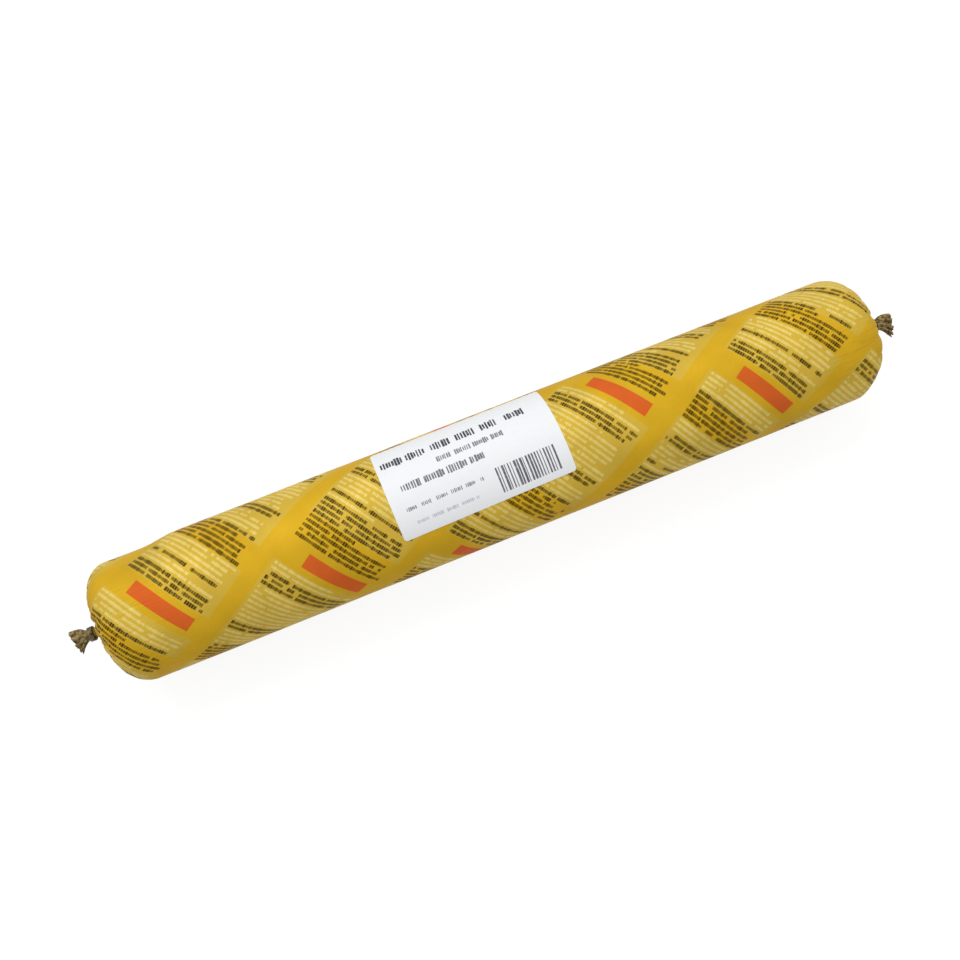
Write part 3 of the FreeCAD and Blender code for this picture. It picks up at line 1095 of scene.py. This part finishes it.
    def build(self, finish: PrintedFilm) -> bpy.types.Object:
        """Builds and dresses the film.

        Args:
            finish: The printed film's finish.

        Returns:
            The finished piece.
        """
        skin = self.skin()
        piece = folded(skin, self.fold_tree(), {**self.folds.inputs(), "Film": finish.material()})
        self.press_flat(piece.data)
        return dress(piece, "film_pack")


@dataclass(frozen=True)
class FilmFolds:
    """How the film is folded. Each size is an input of the fold tree."""

    gathers: float = 16.0
    valley_share: float = 0.4
    gather_depth: float = 1.1 * MM
    fine_depth: float = 0.7 * MM
    crease_depth: float = 0.55 * MM
    tail_folds: float = 9.0
    tail_depth: float = 1.2 * MM
    slack: float = 0.12 * MM
    lap_turn: float = math.radians(128.0)
    lap_height: float = 0.16 * MM
    seed: float = 4.0

    def inputs(self) -> Dict[str, float]:
        """Gives the tree's inputs by name, in order."""
        return {name.replace("_", " ").capitalize(): size for name, size in asdict(self).items()}


def folded(thing: bpy.types.Object, tree: bpy.types.NodeTree, inputs: Dict[str, object]) -> bpy.types.Object:
    """Runs a node tree over a mesh and turns the result into a plain mesh.

    Args:
        thing: The object to run it on.
        tree: The node tree.
        inputs: The tree's inputs by name.

    Returns:
        The same object, with the result as its mesh and no modifier left.
    """
    run = thing.modifiers.new(tree.name, "NODES")
    run.node_group = tree
    for item in tree.interface.items_tree:
        if item.in_out == "INPUT" and item.name in inputs:
            run[item.identifier] = inputs[item.name]
    graph = bpy.context.evaluated_depsgraph_get()
    evaluated = thing.evaluated_get(graph)
    result = bpy.data.meshes.new_from_object(evaluated, preserve_all_data_layers=True, depsgraph=graph)
    thing.modifiers.remove(run)
    thing.data = result
    result.name = thing.name
    return thing


@dataclass
class CrimpedClip:
    """A strip of soft metal bent round a neck, pressed by its dies, its ends butting underneath."""

    node: str
    piece_name: str
    split: float = math.radians(14.0)
    edge_radius: float = 0.24 * MM
    wall: float = 0.8 * MM
    die_depth: float = 0.10 * MM
    tooth_depth: float = 0.05 * MM
    teeth: int = 36
    toothed_share: float = 0.62
    steps: int = 132
    corner_steps: int = 4

    def section(self, half_width: float, inner: float, outer: float) -> List[Pair]:
        """Gives the strip's rounded section.

        Args:
            half_width: Half of the strip's width along the pack.
            inner: Radius of the strip's inside.
            outer: Radius of its outside.

        Returns:
            Points of (offset along X, radius), in order.
        """
        points: List[Pair] = []
        edge = self.edge_radius
        corners = ((1, 1, 0.0), (-1, 1, 90.0), (-1, -1, 180.0), (1, -1, 270.0))
        for sign_x, sign_r, start in corners:
            middle_x = sign_x * (half_width - edge)
            middle_r = (outer if sign_r > 0 else inner) - sign_r * edge
            for number in range(self.corner_steps + 1):
                angle = math.radians(start + 90.0 * number / self.corner_steps)
                points.append((middle_x + edge * math.cos(angle), middle_r + edge * math.sin(angle)))
        return points

    def build(self, finish: bpy.types.Material) -> bpy.types.Object:
        """Builds and dresses the clip.

        Args:
            finish: The clips' material.

        Returns:
            The finished piece.
        """
        low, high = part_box(self.node)
        middle, half_width = (low + high) / 2, (high.x - low.x) / 2
        outer = (high.z - low.z) / 2
        section = self.section(half_width, outer - self.wall, outer)
        rings: List[List[Triple]] = []
        for number in range(self.steps + 1):
            turn = math.pi + self.split / 2 + (2 * math.pi - self.split) * number / self.steps
            die_flat = self.die_depth * (0.5 - 0.5 * math.cos(4 * turn)) ** 2
            tooth = self.tooth_depth * max(0.0, math.cos(self.teeth * turn)) ** 2
            ring = []
            for offset, radius in section:
                outside = min(1.0, max(0.0, (radius - (outer - self.wall)) / self.wall))
                on_band = 1.0 if abs(offset) < half_width * self.toothed_share else 0.0
                radius -= outside * (die_flat + tooth * on_band)
                ring.append((middle.x + offset, radius * math.sin(turn), middle.z + radius * math.cos(turn)))
            rings.append(ring)
        count = len(section)
        points = np.array([point for ring in rings for point in ring])
        faces = ring_faces(self.steps + 1, count)
        faces.append(tuple(range(count)))
        faces.append(tuple(range(self.steps * count, (self.steps + 1) * count))[::-1])
        piece = mesh_object(self.piece_name, points, faces)
        piece.data.materials.append(finish)
        return dress(piece, self.node)


@dataclass
class PaperLabel:
    """The white label, a thin sheet stuck round the upper side of the barrel."""

    MAP_NAME = "label_map"
    MAP_SHIFT = (0.05, 0.05)

    length: float = 68.0 * MM
    height: float = 42.0 * MM
    thickness: float = 0.115 * MM
    lift: float = 0.02 * MM
    shift: float = -7.8 * MM
    turn: float = math.radians(13.9)
    skew: float = math.radians(1.3)
    corner: float = 0.8 * MM
    columns: int = 68
    rows: int = 48

    def sheet_point(self, pack: FilmPack, across: float, up: float, layer: float) -> Triple:
        """Gives the place of a point of the label.

        Args:
            pack: The pack that carries it.
            across: Along the label from its middle.
            up: Up the label from its middle.
            layer: Height above the film.

        Returns:
            The point.
        """
        x = pack.barrel_middle + self.shift + across * math.cos(self.skew) - up * math.sin(self.skew)
        arc = across * math.sin(self.skew) + up * math.cos(self.skew)
        turn = self.turn + arc / pack.radius
        radius = pack.radius + layer
        return (x, radius * math.sin(turn), pack.axis_height + radius * math.cos(turn))

    def build(self, pack: FilmPack, finish: LabelPaper) -> bpy.types.Object:
        """Builds and dresses the label.

        Args:
            pack: The pack that carries it.
            finish: The paper's finish.

        Returns:
            The finished piece.
        """
        places: List[Pair] = []
        for row in range(self.rows + 1):
            up = self.height * (row / self.rows - 0.5)
            from_edge = self.height / 2 - abs(up)
            inset = 0.0
            if from_edge < self.corner:
                inset = self.corner - math.sqrt(self.corner ** 2 - (self.corner - from_edge) ** 2)
            for step in range(self.columns + 1):
                across = (self.length - 2 * inset) * (step / self.columns - 0.5)
                places.append((across, up))
        count = self.columns + 1
        layers = (self.lift, self.lift + self.thickness)
        points = [self.sheet_point(pack, across, up, layer) for layer in layers for across, up in places]
        faces: List[Face] = []
        size = len(places)
        for row in range(self.rows):
            for step in range(self.columns):
                corner = row * count + step
                quad = (corner, corner + 1, corner + count + 1, corner + count)
                faces.append(quad[::-1])
                faces.append(tuple(number + size for number in quad))
        border = list(range(count))
        border += [row * count + self.columns for row in range(1, self.rows + 1)]
        border += [self.rows * count + step for step in range(self.columns - 1, -1, -1)]
        border += [row * count for row in range(self.rows - 1, 0, -1)]
        for index, start in enumerate(border):
            following = border[(index + 1) % len(border)]
            faces.append((start, following, following + size, start + size))
        piece = mesh_object("paper_label", np.array(points), faces)
        layer = piece.data.uv_layers.new(name=self.MAP_NAME)
        for loop in piece.data.loops:
            across, up = places[loop.vertex_index % size]
            layer.data[loop.index].uv = (across + self.MAP_SHIFT[0], up + self.MAP_SHIFT[1])
        piece.data.materials.append(finish.material())
        return dress(piece, "label")


@dataclass
class Studio:
    """Plain pale floor, soft light from above the pack's back, and the camera at the photograph's angle."""

    pack: FilmPack
    look_off: Pair = (-6.08 * MM, 0.36 * MM)
    azimuth: float = math.radians(-21.94)
    elevation: float = math.radians(78.0)
    distance: float = 393.6 * MM
    lens: float = 38.19
    sensor_width: float = 36.0
    floor_half: float = 3.0
    floor_drop: float = 0.02 * MM
    floor_glow: float = 0.86
    room_level: float = 0.68
    lamp_place: Triple = (-0.10, 0.75, 1.05)
    lamp_size: Pair = (1.0, 0.7)
    lamp_power: float = 6.5

    @property
    def target(self) -> Vector:
        """Gives the point that the camera and the lamp are turned to."""
        return Vector((self.pack.barrel_middle + self.look_off[0], self.look_off[1], self.pack.axis_height))

    def camera(self) -> None:
        """Places the camera and makes it the scene's own."""
        back = Vector((math.sin(self.azimuth) * math.cos(self.elevation),
                       -math.cos(self.azimuth) * math.cos(self.elevation), math.sin(self.elevation)))
        data = bpy.data.cameras.new("camera")
        data.lens = self.lens
        data.sensor_width = self.sensor_width
        data.clip_start = 0.01
        bpy.context.scene.camera = self.hung("camera", data, self.target + back * self.distance)

    def hung(self, name: str, data: bpy.types.ID, place: Vector) -> bpy.types.Object:
        """Adds a camera or a lamp, turned to the target.

        Args:
            name: Its name.
            data: The camera or the light.
            place: Where it hangs.

        Returns:
            The object.
        """
        made = linked(name, data)
        made.location = place
        made.rotation_mode = "QUATERNION"
        made.rotation_quaternion = (self.target - place).to_track_quat("-Z", "Y")
        return made

    def lamp(self) -> None:
        """Hangs the soft lamp, which faces the pack."""
        data = bpy.data.lights.new("key", "AREA")
        data.shape = "RECTANGLE"
        data.size, data.size_y = self.lamp_size
        data.energy = self.lamp_power
        self.hung("key", data, Vector(self.lamp_place))

    def white_seen(self, pen: Pen) -> Wire:
        """Gives 1 for rays that come from the camera, a glossy surface or a clear one.

        Args:
            pen: The pen of a material's or the world's tree.

        Returns:
            1 for those rays and 0 for the others.
        """
        rays = pen.node("ShaderNodeLightPath")
        seen: Optional[Wire] = None
        for name in ("Is Camera Ray", "Is Glossy Ray", "Is Transmission Ray"):
            ray = Wire(pen, rays.outputs[name])
            seen = ray if seen is None else pen.calc("MAXIMUM", seen, ray)
        return seen

    def world(self) -> None:
        """Makes the even light all round, which shows as white."""
        world = bpy.data.worlds.new("pale_room")
        bpy.context.scene.world = world
        world.use_nodes = True
        pen = Pen(world.node_tree)
        shade = next(node for node in world.node_tree.nodes if node.type == "BACKGROUND")
        shade.inputs["Color"].default_value = (1.0, 1.0, 1.0, 1.0)
        level = self.room_level
        pen.feed(shade.inputs["Strength"], self.white_seen(pen) * (1.0 - level) + level)

    def floor(self) -> None:
        """Lays the pale floor, which keeps the pack's shadow."""
        half, low = self.floor_half, -self.floor_drop
        corners = np.array([(-half, -half, low), (half, -half, low), (half, half, low), (-half, half, low)])
        made = mesh_object("floor", corners, [(0, 1, 2, 3)])
        plain = {"Base Color": ink(128, 128, 128), "Roughness": 0.9, "Specular IOR Level": 0.0,
                 "Emission Color": ink(255, 255, 255)}
        material, pen, shader = new_material("pale_floor", plain)
        pen.feed(shader.inputs["Emission Strength"], self.white_seen(pen) * self.floor_glow)
        made.data.materials.append(material)

    def build(self) -> None:
        """Builds the whole studio."""
        self.camera()
        self.floor()
        self.world()
        self.lamp()
        bpy.context.scene.view_settings.view_transform = "Standard"


def main() -> None:
    """Builds the pack's pieces in order, then the studio."""
    logging.basicConfig(level=logging.INFO)
    pack = FilmPack()
    pack.build(PrintedFilm())
    metal = DullAluminium().material()
    for side in ("left", "right"):
        CrimpedClip(side + "_clip", side + "_crimp").build(metal)
    PaperLabel().build(pack, LabelPaper())
    Studio(pack).build()


if __name__ == "__main__":
    main()
